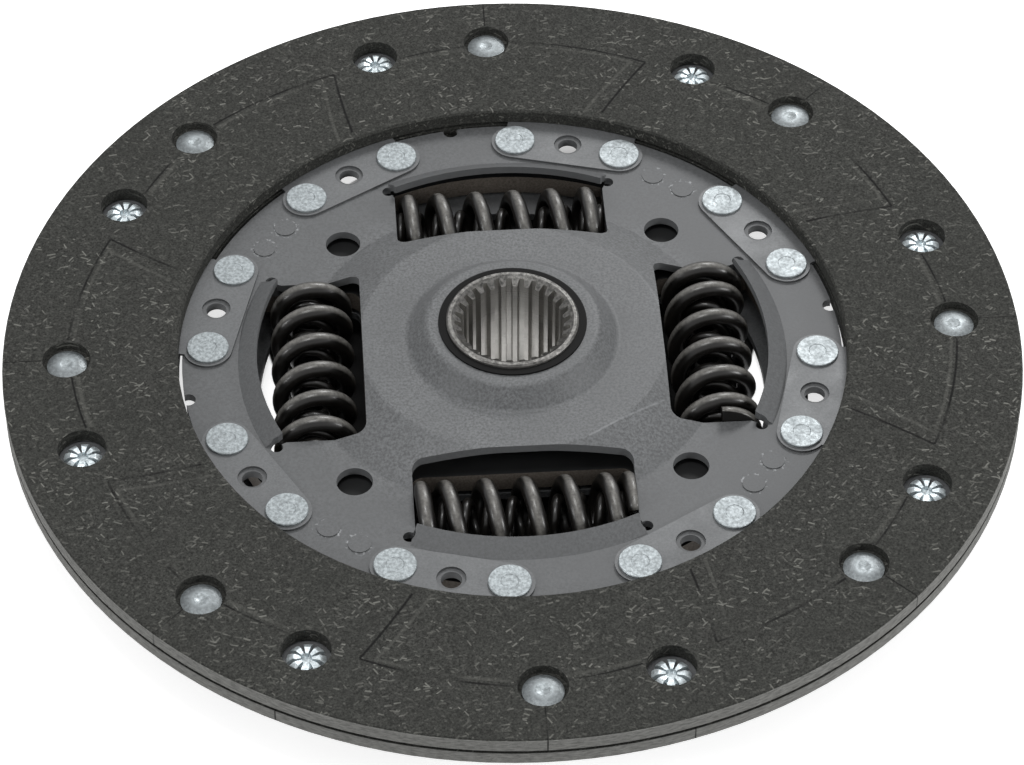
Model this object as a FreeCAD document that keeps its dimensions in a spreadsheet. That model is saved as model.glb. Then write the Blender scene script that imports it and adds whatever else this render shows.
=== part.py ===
import FreeCAD, Part
import math
import os
import Sketcher

# A clutch disc: two riveted friction facings on eight spring leaves, carried by a pressed
# drive plate, which turns the splined hub through four pairs of damper springs.
# Lengths are millimetres and angles degrees. The origin is on the hub's axis, at the middle
# plane of the spring leaves, and +Z looks towards the front facing.

SIZES = {
    # Facings, 228 mm outside and 150 mm inside
    "facing_outer": 114,
    "facing_inner": 75,
    "facing_thickness": 3.4,
    "facing_spacing": 0.9,
    "facing_edge_break": 0.4,
    # Rivets through the facings: a smooth head in a counterbore, a splayed tail behind
    "facing_rivet_circle": 99.7,
    "facing_rivet_offset": 14.63,
    "facing_rivet_shank": 2.2,
    "facing_rivet_head": 4.45,
    "facing_rivet_head_edge": 0.35,
    "facing_rivet_head_dome": 7.1,
    "facing_rivet_head_height": 0.9,
    "facing_rivet_dimple": 1.5,
    "facing_rivet_dimple_depth": 0.35,
    "facing_rivet_tail": 4.2,
    "facing_rivet_tail_height": 1.45,
    "facing_rivet_hollow": 1.2,
    "petal_count": 8,
    "petal_gap_inner": 0.1,
    "petal_gap_outer": 0.75,
    "cut_overrun": 1,
    "head_bore": 5.4,
    "head_bore_depth": 2.2,
    # Cushion segments, the spring leaves between the facings
    "segment_count": 8,
    "segment_first_angle": 30.37,
    "segment_thickness": 0.6,
    "segment_gap_angle": 0.9,
    "segment_rim_margin": 2,
    "segment_fan_inner": 79,
    "segment_neck_angle": 11.4,
    "segment_wave_margin": 0.2,
    "segment_wave_run": 2.5,
    "segment_slot_width": 3,
    "segment_slot_inner": 81,
    "segment_slot_outer": 96.5,
    "segment_slot_inner_angle": 3.6,
    "segment_slot_outer_angle": 7.2,
    "foot_rivet_circle": 68.5,
    "foot_rivet_angle": 10.51,
    "foot_corner": 5.5,
    "foot_locating_hole": 3.25,
    "plate_locating_hole": 2.3,
    # Rivets through the feet of the segments
    "foot_rivet_shank": 2.9,
    "foot_rivet_head": 4.7,
    "foot_rivet_head_height": 0.6,
    "foot_rivet_mark": 2.0,
    "foot_rivet_mark_depth": 0.12,
    "foot_rivet_tail": 4.2,
    "foot_rivet_tail_height": 1.05,
    "rivet_edge_break": 0.15,
    "rivet_clearance": 0.05,
    # Drive plate and counter plate, pressed from the same sheet
    "plate_thickness": 2,
    "plate_outer": 74.2,
    "plateau_radius": 34.5,
    "plateau_foot": 47.5,
    "plateau_rise": 5.5,
    "boss_top": 19.4,
    "boss_foot": 23.6,
    "boss_rise": 4.3,
    "boss_hole": 16.6,
    "bend_radius": 1.6,
    "plate_hole": 4,
    "plate_hole_circle": 52.1,
    "rim_notch": 1.7,
    "rim_notch_circle": 73.6,
    "rim_notch_angle": 7.87,
    # Spring windows, the same in both plates and in the flange
    "window_count": 4,
    "window_inner": 33.6,
    "window_half_length": 24.3,
    "window_corner": 2.5,
    "window_outer": 57.4,
    "lip_foot_clearance": 0.2,
    "lip_rise": 2.76,
    "lip_half_angle": 24.6,
    "slit_width_angle": 0.7,
    "relief_hole": 1.4,
    "relief_hole_circle": 59.4,
    # Tabs of the counter plate, staked through the drive plate; the stops of the damper
    "tab_angle": 52.87,
    "tab_half_angle": 5.2,
    "tab_middle_circle": 65.9,
    "tenon_offset": 3.55,
    "tenon_half_angle": 1.5,
    "tenon_clearance": 0.05,
    "staked_head": 2.5,
    "staked_head_height": 0.22,
    # Hub and hub flange
    "flange_thickness": 5,
    "flange_outer": 66,
    "flange_window_outer": 60.4,
    "flange_notch_depth": 1.6,
    "damper_travel": 8,
    "stop_margin": 0.3,
    "hub_outer": 14.8,
    "hub_front": 10.7,
    "hub_rear": 17.5,
    "hub_edge_break": 0.35,
    "hub_mouth": 13.7,
    "hub_mouth_depth": 1.6,
    "collar_radius": 20.6,
    "collar_tooth_count": 12,
    "collar_tooth_depth": 1.6,
    "collar_tooth_half_angle": 7,
    "collar_clearance": 0.05,
    "spline_count": 28,
    "spline_tip": 11.5,
    "spline_root": 13,
    "spline_tip_half_angle": 3.9,
    "spline_root_half_angle": 2.4,
    # Bushes and the friction rings between the drive plate and the flange
    "running_clearance": 0.05,
    "front_gap": 1.4,
    "bush_flange_radius": 27,
    "front_bush_thickness": 2,
    "front_bush_shoulder": 17.6,
    "front_bush_shoulder_gap": 0.3,
    "front_bush_end_gap": 0.4,
    "rear_bush_thickness": 1.35,
    "rear_bush_collar": 17.2,
    "rear_bush_end": 0.6,
    "friction_ring_inner": 22.5,
    "friction_ring_outer": 28,
    "friction_ring_thickness": 1.6,
    "pressure_ring_inner": 16.5,
    "pressure_ring_thickness": 1.2,
    "disc_spring_inner": 17.5,
    "disc_spring_outer": 26.5,
    "disc_spring_thickness": 0.8,
    # Damper springs
    "spring_axis_circle": 44.9,
    "spring_end_gap": 0.15,
    "outer_coil_radius": 7.6,
    "outer_wire_radius": 1.85,
    "outer_coil_turns": 6.5,
    "outer_end_pitch": 4.0,
    "inner_coil_radius": 4.2,
    "inner_wire_radius": 1.1,
    "inner_coil_turns": 10.5,
    "inner_end_pitch": 3.0,
    "spring_roll_1": 270,
    "spring_roll_2": 183.6,
    "spring_roll_3": 169.2,
    "spring_roll_4": 54,
}

Vector = FreeCAD.Vector


class Size:
    """A value with the sheet expression behind it: sketches are drawn with the number and
    bound to the expression."""

    def __init__(self, number, text):
        self.number = number
        self.text = text

    def joined(self, other, sign, number):
        return Size(number, f"({self.text} {sign} {as_size(other).text})")

    def __add__(self, other):
        return self.joined(other, "+", self.number + as_size(other).number)

    def __sub__(self, other):
        return self.joined(other, "-", self.number - as_size(other).number)

    def __mul__(self, other):
        return self.joined(other, "*", self.number * as_size(other).number)

    def __truediv__(self, other):
        return self.joined(other, "/", self.number / as_size(other).number)

    def __neg__(self):
        return Size(-self.number, f"(0 - {self.text})")


def as_size(value):
    if isinstance(value, Size):
        return value
    return Size(value, f"({value!r})")


def cosine(angle):
    return Size(math.cos(math.radians(angle.number)), f"cos({angle.text})")


def sine(angle):
    return Size(math.sin(math.radians(angle.number)), f"sin({angle.text})")


def root(value):
    return Size(math.sqrt(value.number), f"sqrt({value.text})")


def polar(radius, angle):
    return radius * cosine(angle), radius * sine(angle)


# The document and its sheet of driving sizes

doc = FreeCAD.newDocument("ClutchDisc")
sheet = doc.addObject("Spreadsheet::Sheet", "sizes")
for row, (alias, value) in enumerate(SIZES.items(), start=1):
    sheet.set(f"A{row}", str(value))
    sheet.setAlias(f"A{row}", alias)
doc.recompute()


def size(alias):
    return Size(float(sheet.get(alias)), f"sizes.{alias}")


def count(alias):
    return int(sheet.get(alias))


# Helpers for bodies, sketches and features

def origin_part(body, role):
    return [part for part in body.Origin.OriginFeatures if part.Role == role][0]


def new_body(name):
    body = doc.addObject("PartDesign::Body", name)
    body.Label = name
    return body


def arc_between(start, end, radius, anticlockwise):
    """The shorter arc of the given radius between two points of a sketch."""
    chord = end - start
    height = math.sqrt(max(radius * radius - chord.Length * chord.Length / 4, 0))
    side = Vector(-chord.y, chord.x, 0).normalize()
    centre = (start + end) * 0.5 + side * (height if anticlockwise else -height)
    first, last = (start, end) if anticlockwise else (end, start)
    angles = [math.atan2(point.y - centre.y, point.x - centre.x) for point in (first, last)]
    circle = Part.Circle(centre, Vector(0, 0, 1), radius)
    return Part.ArcOfCircle(circle, *angles)


def add_outline(sketch, corners):
    """A closed outline. A corner is (x, y), or (x, y, radius) where an arc leads on from it:
    anticlockwise, or clockwise where the radius is negative."""
    corners = [tuple(as_size(value) for value in corner) for corner in corners]
    base = sketch.GeometryCount
    points = [Vector(corner[0].number, corner[1].number, 0) for corner in corners]
    geometry, bindings, joints, ends = [], [], [], []
    for index, corner in enumerate(corners):
        start, end = points[index], points[(index + 1) % len(points)]
        if len(corner) == 3:
            radius = corner[2].number
            geometry.append(arc_between(start, end, abs(radius), radius > 0))
            ends.append((1, 2) if radius > 0 else (2, 1))
        else:
            geometry.append(Part.LineSegment(start, end))
            ends.append((1, 2))
    for index, corner in enumerate(corners):
        here, following = base + index, (index + 1) % len(corners)
        joints.append(Sketcher.Constraint("Coincident", here, ends[index][1],
                                          base + following, ends[following][0]))
        for kind, value in zip(("DistanceX", "DistanceY"), corner[:2]):
            bindings.append((Sketcher.Constraint(kind, -1, 1, here, ends[index][0],
                                                 value.number), value.text))
        if len(corner) == 3:
            radius = corner[2] if corner[2].number > 0 else -corner[2]
            bindings.append((Sketcher.Constraint("Radius", here, radius.number), radius.text))
    sketch.addGeometry(geometry, False)
    bind(sketch, joints, bindings)


def add_circle(sketch, x, y, radius):
    index = sketch.GeometryCount
    centre = Vector(x.number, y.number, 0)
    sketch.addGeometry(Part.Circle(centre, Vector(0, 0, 1), radius.number), False)
    bind(sketch, [], [
        (Sketcher.Constraint("DistanceX", -1, 1, index, 3, x.number), x.text),
        (Sketcher.Constraint("DistanceY", -1, 1, index, 3, y.number), y.text),
        (Sketcher.Constraint("Radius", index, radius.number), radius.text)])


def bind(sketch, joints, bindings):
    first = sketch.ConstraintCount + len(joints)
    sketch.addConstraint(joints + [constraint for constraint, text in bindings])
    for index, (constraint, text) in enumerate(bindings, start=first):
        sketch.setExpression(f"Constraints[{index}]", text)


def new_sketch(body, name, plane, outlines=(), circles=(), level=None):
    """A sketch on an origin plane of the body, raised to a level where one is given."""
    sketch = body.newObject("Sketcher::SketchObject", name)
    sketch.AttachmentSupport = [(origin_part(body, plane), "")]
    sketch.MapMode = "FlatFace"
    if level is not None:
        sketch.setExpression("AttachmentOffset.Base.z", level.text)
    for corners in outlines:
        add_outline(sketch, corners)
    for circle in circles:
        add_circle(sketch, *circle)
    return sketch


def turned(body, name, profile, half_angle=None):
    """The profile, given as radius and height, turned about the Z axis."""
    sketch = new_sketch(body, f"{name}_profile", "XZ_Plane", [profile])
    feature = body.newObject("PartDesign::Revolution", name)
    feature.Profile = sketch
    feature.ReferenceAxis = (origin_part(body, "Z_Axis"), [""])
    feature.Angle = 360
    if half_angle is not None:
        feature.Midplane = True
        feature.setExpression("Angle", (half_angle * 2).text)
    return feature


def raised(body, name, sketch, length):
    feature = body.newObject("PartDesign::Pad", name)
    feature.Profile = sketch
    feature.setExpression("Length", length.text)
    return feature


def cut_through(body, name, sketch):
    feature = body.newObject("PartDesign::Pocket", name)
    feature.Profile = sketch
    feature.Type = "ThroughAll"
    feature.SideType = "Symmetric"
    return feature


def cut_down(body, name, sketch, depth, upwards=False):
    feature = body.newObject("PartDesign::Pocket", name)
    feature.Profile = sketch
    feature.Reversed = upwards
    feature.setExpression("Length", depth.text)
    return feature


def patterned(body, name, features, occurrences):
    pattern = body.newObject("PartDesign::PolarPattern", name)
    pattern.Originals = features
    pattern.Axis = (origin_part(body, "Z_Axis"), [""])
    pattern.Angle = 360
    pattern.setExpression("Occurrences", occurrences.text)
    body.Tip = pattern
    return pattern


def ring_edges(shape, radius, height):
    """The names of the full circles about the axis with this radius, at this height."""
    names = []
    for index, edge in enumerate(shape.Edges, start=1):
        curve = edge.Curve
        if isinstance(curve, Part.Circle) and abs(curve.Radius - radius.number) < 0.01:
            if abs(curve.Center.z - height.number) < 0.01:
                names.append(f"Edge{index}")
    return names


def rounded(body, name, base, rings, radius):
    """Fillets of one radius on the rings, each given as a radius and a height."""
    doc.recompute()
    names = [edge for ring in rings for edge in ring_edges(base.Shape, *ring)]
    feature = body.newObject("PartDesign::Fillet", name)
    feature.Base = (base, names)
    feature.setExpression("Radius", radius.text)
    return feature


def turn_body(body, angle):
    body.Placement = FreeCAD.Placement(Vector(), FreeCAD.Rotation(Vector(0, 0, 1), 1))
    body.setExpression("Placement.Rotation.Angle", angle.text)


def sector(inner, outer, start, end):
    """A piece of a ring between two angles."""
    return [(*polar(inner, start),), (*polar(outer, start), outer),
            (*polar(outer, end),), (*polar(inner, end), -inner)]


# Levels along the axis, worked out from the stack

half_segment = size("segment_thickness") / 2
facing_back = size("facing_spacing") / 2
facing_face = facing_back + size("facing_thickness")
head_seat = facing_face - size("head_bore_depth")
plate_top = -half_segment
plate_under = plate_top - size("plate_thickness")
flange_top = plate_under - size("front_gap")
flange_under = flange_top - size("flange_thickness")
flange_middle = flange_top - size("flange_thickness") / 2
counter_top = flange_under - size("rear_bush_thickness")
counter_under = counter_top - size("plate_thickness")
plateau_top = plate_top + size("plateau_rise")
plateau_under = plateau_top - size("plate_thickness")
boss_level = plateau_top + size("boss_rise")
hub_front = size("hub_front")
hub_rear = -size("hub_rear")

segment_pitch = Size(360, "360") / size("segment_count")
first_segment = size("segment_first_angle")
head_angle = first_segment + size("facing_rivet_offset")
tail_angle = first_segment - size("facing_rivet_offset")

# The segments' feet lie on the rim of the drive plate, so the lips start inside them
foot_inner = (size("foot_rivet_circle") * cosine(size("foot_rivet_angle"))
              - size("foot_corner"))
lip_foot = foot_inner - size("lip_foot_clearance")


# Facings: a ring with counterbores for the heads and clear holes for the tails

def facing(name):
    """The front facing: the rear one is the same ring turned over."""
    body = new_body(name)
    inner, outer = size("facing_inner"), size("facing_outer")
    edge = size("facing_edge_break")
    turned(body, f"{name}_ring", [
        (inner, facing_back), (outer, facing_back), (outer, facing_face - edge),
        (outer - edge, facing_face), (inner + edge, facing_face), (inner, facing_face - edge)])
    circle = size("facing_rivet_circle")
    shank_hole = size("facing_rivet_shank") + size("rivet_clearance")
    clear = cut_through(body, f"{name}_holes", new_sketch(
        body, f"{name}_hole_places", "XY_Plane",
        circles=[(*polar(circle, head_angle), shank_hole),
                 (*polar(circle, tail_angle), size("head_bore"))]))
    patterned(body, f"{name}_hole_pattern", [clear], size("segment_count"))
    bores = cut_down(body, f"{name}_counterbores", new_sketch(
        body, f"{name}_counterbore_places", "XY_Plane",
        circles=[(*polar(circle, head_angle), size("head_bore"))], level=facing_face),
        size("head_bore_depth"))
    patterned(body, f"{name}_counterbore_pattern", [bores], size("segment_count"))
    return body


# Cushion segments: a foot on the drive plate, a neck, and a fan between the facings

def cushion_segment():
    """One segment along the X axis, from which all of them are cloned."""
    name = "cushion_segment"
    body = new_body(name)
    corner = size("foot_corner")
    rivet_x, rivet_y = polar(size("foot_rivet_circle"), size("foot_rivet_angle"))
    fan_outer = size("facing_outer") - size("segment_rim_margin")
    fan_inner = size("segment_fan_inner")
    fan_angle = segment_pitch / 2 - size("segment_gap_angle")

    # The wave, seen along the segment's middle line: one side up to the front facing,
    # the other down to the rear one
    step = facing_back - half_segment
    wave_start = rivet_y + corner + size("segment_wave_margin")
    wave_end = wave_start + size("segment_wave_run")
    edge = fan_outer * sine(fan_angle) + 1
    middle = [(-edge, -step), (-wave_end, -step), (-wave_start, Size(0, "0")),
              (wave_start, Size(0, "0")), (wave_end, step), (edge, step)]
    under = [(across, height - half_segment) for across, height in middle]
    over = [(across, height + half_segment) for across, height in reversed(middle)]
    strip = new_sketch(body, f"{name}_wave", "YZ_Plane", [under + over])
    raised(body, f"{name}_strip", strip, fan_outer + 1)

    # The outline, cut out of the strip by taking away everything round it
    neck_start = root(corner * corner - (corner / 2) * (corner / 2))
    neck = size("segment_neck_angle")
    half = [(rivet_x - corner, -rivet_y, corner),
            (rivet_x, -rivet_y - corner, corner),
            (rivet_x + neck_start, -rivet_y - corner / 2),
            (*polar(fan_inner, -neck), -fan_inner),
            (*polar(fan_inner, -fan_angle),),
            (*polar(fan_outer, -fan_angle), fan_outer),
            (*polar(fan_outer, fan_angle),),
            (*polar(fan_inner, fan_angle), -fan_inner),
            (*polar(fan_inner, neck),),
            (rivet_x + neck_start, rivet_y + corner / 2, corner),
            (rivet_x, rivet_y + corner, corner),
            (rivet_x - corner, rivet_y)]
    reach = fan_outer + 5
    around = [(-reach, -reach), (reach, -reach), (reach, reach), (-reach, reach)]
    cut_through(body, f"{name}_blank", new_sketch(
        body, f"{name}_outline", "XY_Plane", [around, half]))

    # Holes: two foot rivets, the locating hole, two facing rivets and the slanted slot
    circle = size("facing_rivet_circle")
    offset = size("facing_rivet_offset")
    foot_hole = size("foot_rivet_shank") + size("rivet_clearance")
    facing_hole = size("facing_rivet_shank") + size("rivet_clearance")
    inner_end = polar(size("segment_slot_inner"), -size("segment_slot_inner_angle"))
    outer_end = polar(size("segment_slot_outer"), -size("segment_slot_outer_angle"))
    run = (outer_end[0] - inner_end[0], outer_end[1] - inner_end[1])
    length = root(run[0] * run[0] + run[1] * run[1])
    half_width = size("segment_slot_width") / 2
    side = (run[1] / length * half_width, run[0] / length * half_width)
    slot = [(inner_end[0] + side[0], inner_end[1] - side[1]),
            (outer_end[0] + side[0], outer_end[1] - side[1], half_width),
            (outer_end[0] - side[0], outer_end[1] + side[1]),
            (inner_end[0] - side[0], inner_end[1] + side[1], half_width)]
    cut_through(body, f"{name}_holes", new_sketch(
        body, f"{name}_hole_places", "XY_Plane", [slot],
        [(rivet_x, rivet_y, foot_hole), (rivet_x, -rivet_y, foot_hole),
         (size("foot_rivet_circle"), Size(0, "0"), size("foot_locating_hole")),
         (*polar(circle, offset), facing_hole), (*polar(circle, -offset), facing_hole)]))
    return body


def cloned(master, name, angle):
    """A body that repeats another one, turned about the Z axis."""
    body = new_body(name)
    clone = body.newObject("PartDesign::FeatureBase", f"{name}_clone")
    clone.BaseFeature = master
    turn_body(body, angle)
    return body


# Rivets: each kind is made once, on the axis, and set out in its places

def facing_rivet():
    """The head stands in a facing's counterbore, the splayed tail behind the segment."""
    body = new_body("facing_rivet")
    shank, head = size("facing_rivet_shank"), size("facing_rivet_head")
    head_top = head_seat + size("facing_rivet_head_height")
    dimple = size("facing_rivet_dimple")
    tail = size("facing_rivet_tail")
    tail_seat = facing_back - size("segment_thickness")
    tail_end = tail_seat - size("facing_rivet_tail_height")
    hollow = size("facing_rivet_hollow")
    lip = (tail + hollow) / 2
    centre = Size(0, "0")
    turned(body, "facing_rivet_form", [
        (centre, tail_seat), (hollow, tail_seat), (hollow, tail_end + hollow / 4),
        (lip, tail_end, tail - hollow), (tail, tail_seat - tail / 8), (tail, tail_seat),
        (shank, tail_seat), (shank, head_seat), (head, head_seat),
        (head, head_seat + size("facing_rivet_head_edge"), size("facing_rivet_head_dome")),
        (dimple, head_top), (centre, head_top - size("facing_rivet_dimple_depth"))])
    narrow, wide = size("petal_gap_inner"), size("petal_gap_outer")
    inside, outside = hollow / 2, tail + size("cut_overrun")
    petal_cut = cut_down(body, "petal_gap_cut", new_sketch(
        body, "petal_gap_place", "XY_Plane",
        [[(inside, -narrow), (outside, -wide), (outside, wide), (inside, narrow)]],
        level=tail_seat), size("facing_rivet_tail_height") + size("cut_overrun"))
    patterned(body, "petal_gaps", [petal_cut], size("petal_count"))
    return body


def foot_rivet():
    body = new_body("foot_rivet")
    shank, head = size("foot_rivet_shank"), size("foot_rivet_head")
    edge = size("rivet_edge_break")
    head_top = half_segment + size("foot_rivet_head_height")
    mark, mark_level = size("foot_rivet_mark"), head_top - size("foot_rivet_mark_depth")
    tail = size("foot_rivet_tail")
    tail_end = plate_under - size("foot_rivet_tail_height")
    centre = Size(0, "0")
    turned(body, "foot_rivet_form", [
        (centre, tail_end), (tail - edge * 2, tail_end), (tail, tail_end + edge * 2),
        (tail, plate_under), (shank, plate_under), (shank, half_segment),
        (head, half_segment), (head, head_top - edge), (head - edge, head_top),
        (mark, head_top), (mark - edge, mark_level), (centre, mark_level)])
    return body


def rivet_group(name, rivet, circle, angles, turned_over=False):
    """One node for a set of like rivets, each a solid of its own."""
    doc.recompute()
    rivets = []
    for angle in angles:
        solid = rivet.Shape.copy()
        if turned_over:
            solid.rotate(Vector(), Vector(1, 0, 0), 180)
        solid.translate(Vector(circle.number, 0, 0))
        solid.rotate(Vector(), Vector(0, 0, 1), angle.number)
        rivets.append(solid.Solids[0])
    group = doc.addObject("Part::Feature", name)
    group.Label = name
    group.Shape = Part.makeCompound(rivets)
    return group


# Drive plate and counter plate

def cut_windows(body, name, edge_level, under_level, rise):
    """Spring windows with their lips, torn free of the sheet at each end by a slit that
    ends in a round relief hole. The lip rises, or drops where the rise is negative."""
    inner, corner = size("window_inner"), size("window_corner")
    half, outer = size("window_half_length"), size("window_outer")
    side = root(outer * outer - half * half)
    opening = [(inner, -half + corner, corner), (inner + corner, -half), (side, -half, outer),
               (side, half), (inner + corner, half, corner), (inner, half - corner)]
    windows = cut_through(body, f"{name}_window", new_sketch(
        body, f"{name}_window_outline", "XY_Plane", [opening]))
    patterned(body, f"{name}_windows", [windows], size("window_count"))
    lip_angle = size("lip_half_angle")
    relief_circle = size("relief_hole_circle")
    slit_end = lip_angle + size("slit_width_angle")
    room = cut_through(body, f"{name}_lip_room", new_sketch(
        body, f"{name}_lip_room_outline", "XY_Plane",
        [sector(outer - 1, lip_foot, -lip_angle, lip_angle)]))
    slits = [cut_through(body, f"{name}_slit_{hand}", new_sketch(
        body, f"{name}_slit_{hand}_outline", "XY_Plane", [outline]))
        for hand, outline in (
            ("left", sector(outer - 2, relief_circle, lip_angle - 1, slit_end)),
            ("right", sector(outer - 2, relief_circle, -slit_end, -lip_angle + 1)))]
    patterned(body, f"{name}_lip_rooms", [room, *slits], size("window_count"))
    lip = turned(body, f"{name}_lip", [
        (outer, under_level + rise), (lip_foot, under_level), (lip_foot, edge_level),
        (outer, edge_level + rise)], half_angle=lip_angle)
    patterned(body, f"{name}_lips", [lip], size("window_count"))
    relief = cut_through(body, f"{name}_relief", new_sketch(
        body, f"{name}_relief_places", "XY_Plane",
        circles=[(*polar(relief_circle, slit_end + 0.3), size("relief_hole")),
                 (*polar(relief_circle, -slit_end - 0.3), size("relief_hole"))]))
    patterned(body, f"{name}_reliefs", [relief], size("window_count"))


def half_turn_tangent(rise, run):
    """The tangent of half the slope angle, by which a sheet's bends step inwards."""
    return (root(rise * rise + run * run) - run) / rise


def drive_plate():
    body = new_body("drive_plate")
    sheet_gauge = size("plate_thickness")
    outer, plateau, foot = size("plate_outer"), size("plateau_radius"), size("plateau_foot")
    boss_top, boss_foot, hole = size("boss_top"), size("boss_foot"), size("boss_hole")
    cone_step = sheet_gauge * half_turn_tangent(size("plateau_rise"), foot - plateau)
    boss_step = sheet_gauge * half_turn_tangent(size("boss_rise"), boss_foot - boss_top)
    boss_under = boss_level - sheet_gauge
    upper = [(outer, plate_top), (foot, plate_top), (plateau, plateau_top),
             (boss_foot, plateau_top), (boss_top, boss_level), (hole, boss_level)]
    lower = [(hole, boss_under), (boss_top - boss_step, boss_under),
             (boss_foot - boss_step, plateau_under), (plateau - cone_step, plateau_under),
             (foot - cone_step, plate_under), (outer, plate_under)]
    pressing = turned(body, "drive_plate_pressing", upper + lower)
    rounded(body, "drive_plate_bends", pressing, upper[1:5] + lower[1:5], size("bend_radius"))
    cut_windows(body, "drive_plate", plate_top, plate_under, size("lip_rise"))

    # Rivet and locating holes under each segment's foot
    circle = size("foot_rivet_circle")
    hole_radius = size("foot_rivet_shank") + size("rivet_clearance")
    offset = size("foot_rivet_angle")
    feet = cut_through(body, "drive_plate_foot_holes", new_sketch(
        body, "drive_plate_foot_hole_places", "XY_Plane",
        circles=[(*polar(circle, first_segment + offset), hole_radius),
                 (*polar(circle, first_segment - offset), hole_radius),
                 (*polar(circle, first_segment), size("plate_locating_hole"))]))
    patterned(body, "drive_plate_foot_hole_pattern", [feet], size("segment_count"))

    # Round holes, rim notches and the slots of the tenons, once for each window
    half_pitch = Size(180, "180") / size("window_count")
    half_sheet = sheet_gauge / 2
    gap = size("tenon_clearance")
    middle = size("tab_middle_circle")
    reach = size("tenon_half_angle") + gap
    slots = [sector(middle - half_sheet - gap, middle + half_sheet + gap,
                    centre - reach, centre + reach) for centre in tenon_angles()]
    openings = cut_through(body, "drive_plate_openings", new_sketch(
        body, "drive_plate_opening_places", "XY_Plane", slots,
        [(*polar(size("plate_hole_circle"), half_pitch), size("plate_hole")),
         (*polar(size("rim_notch_circle"), size("rim_notch_angle")), size("rim_notch"))]))
    patterned(body, "drive_plate_opening_pattern", [openings], size("window_count"))
    return body


def tenon_angles():
    return [size("tab_angle") - size("tenon_offset"), size("tab_angle") + size("tenon_offset")]


def counter_plate():
    body = new_body("counter_plate")
    half_sheet = size("plate_thickness") / 2
    middle = size("tab_middle_circle")
    hole = size("rear_bush_collar") + size("running_clearance")
    outer = middle + half_sheet
    turned(body, "counter_plate_disc", [
        (hole, counter_under), (outer, counter_under), (outer, counter_top),
        (hole, counter_top)])
    cut_windows(body, "counter_plate", counter_under, counter_top, -size("lip_rise"))
    tab_angle, tab_half = size("tab_angle"), size("tab_half_angle")
    tab = raised(body, "counter_plate_tab", new_sketch(
        body, "counter_plate_tab_section", "XY_Plane",
        [sector(middle - half_sheet, outer, tab_angle - tab_half, tab_angle + tab_half)],
        level=counter_top), plate_under - counter_top)
    half_tenon = size("tenon_half_angle")
    tenons = raised(body, "counter_plate_tenons", new_sketch(
        body, "counter_plate_tenon_sections", "XY_Plane",
        [sector(middle - half_sheet, outer, centre - half_tenon, centre + half_tenon)
         for centre in tenon_angles()], level=plate_under), size("plate_thickness"))
    stakes = raised(body, "counter_plate_stakes", new_sketch(
        body, "counter_plate_stake_places", "XY_Plane",
        circles=[(*polar(middle, centre), size("staked_head")) for centre in tenon_angles()],
        level=plate_top), size("staked_head_height"))
    patterned(body, "counter_plate_tabs", [tab, tenons, stakes], size("window_count"))
    half_pitch = Size(180, "180") / size("window_count")
    holes = cut_through(body, "counter_plate_holes", new_sketch(
        body, "counter_plate_hole_places", "XY_Plane",
        circles=[(*polar(size("plate_hole_circle"), half_pitch), size("plate_hole"))]))
    patterned(body, "counter_plate_hole_pattern", [holes], size("window_count"))
    return body


# Hub and hub flange, locked together by the toothed collar

def hub():
    body = new_body("hub")
    outer, collar, edge = size("hub_outer"), size("collar_radius"), size("hub_edge_break")
    tip, mouth, depth = size("spline_tip"), size("hub_mouth"), size("hub_mouth_depth")
    turned(body, "hub_form", [
        (mouth, hub_rear), (outer - edge, hub_rear), (outer, hub_rear + edge),
        (outer, flange_under), (collar, flange_under), (collar, flange_top),
        (outer, flange_top), (outer, hub_front - edge), (outer - edge, hub_front),
        (mouth, hub_front), (tip, hub_front - depth), (tip, hub_rear + depth)])
    wide, narrow = size("spline_tip_half_angle"), size("spline_root_half_angle")
    base, spline_root = tip - 1, size("spline_root")
    groove = cut_through(body, "spline_groove", new_sketch(
        body, "spline_groove_section", "XY_Plane",
        [[(*polar(base, -wide),), (*polar(tip, -wide),), (*polar(spline_root, -narrow),
          spline_root), (*polar(spline_root, narrow),), (*polar(tip, wide),),
          (*polar(base, wide), -base)]]))
    patterned(body, "spline", [groove], size("spline_count"))
    gap = cut_down(body, "collar_gap", new_sketch(
        body, "collar_gap_section", "XY_Plane",
        [collar_tooth(size("collar_tooth_half_angle"), collar - size("collar_tooth_depth"),
                      collar + 1)], level=flange_top), size("flange_thickness"))
    patterned(body, "collar_teeth", [gap], size("collar_tooth_count"))
    return body


def collar_tooth(half_angle, inner, outer):
    return sector(inner, outer, -half_angle, half_angle)


def hub_flange():
    body = new_body("hub_flange")
    outer, thickness = size("flange_outer"), size("flange_thickness")
    clearance, collar = size("collar_clearance"), size("collar_radius")
    turned(body, "flange_disc", [
        (collar + clearance, flange_under), (outer, flange_under), (outer, flange_top),
        (collar + clearance, flange_top)])
    slack = size("collar_clearance") * 3
    tooth = raised(body, "flange_tooth", new_sketch(
        body, "flange_tooth_section", "XY_Plane",
        [collar_tooth(size("collar_tooth_half_angle") - slack,
                      collar - size("collar_tooth_depth") + clearance, collar + 1)],
        level=flange_under), thickness)
    patterned(body, "flange_teeth", [tooth], size("collar_tooth_count"))
    inner, corner = size("window_inner"), size("window_corner")
    half, window_outer = size("window_half_length"), size("flange_window_outer")
    side = root(window_outer * window_outer - half * half)
    opening = [(inner, -half + corner, corner), (inner + corner, -half),
               (side, -half, window_outer), (side, half), (inner + corner, half, corner),
               (inner, half - corner)]
    notch_half = size("tab_half_angle") + size("damper_travel") + size("stop_margin")
    notch = sector(outer - size("flange_notch_depth"), outer + 1,
                   size("tab_angle") - notch_half, size("tab_angle") + notch_half)
    cuts = cut_through(body, "flange_windows_and_notches", new_sketch(
        body, "flange_window_and_notch", "XY_Plane", [opening, notch]))
    patterned(body, "flange_window_pattern", [cuts], size("window_count"))
    return body


# Bushes, friction ring, pressure ring and disc spring

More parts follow.
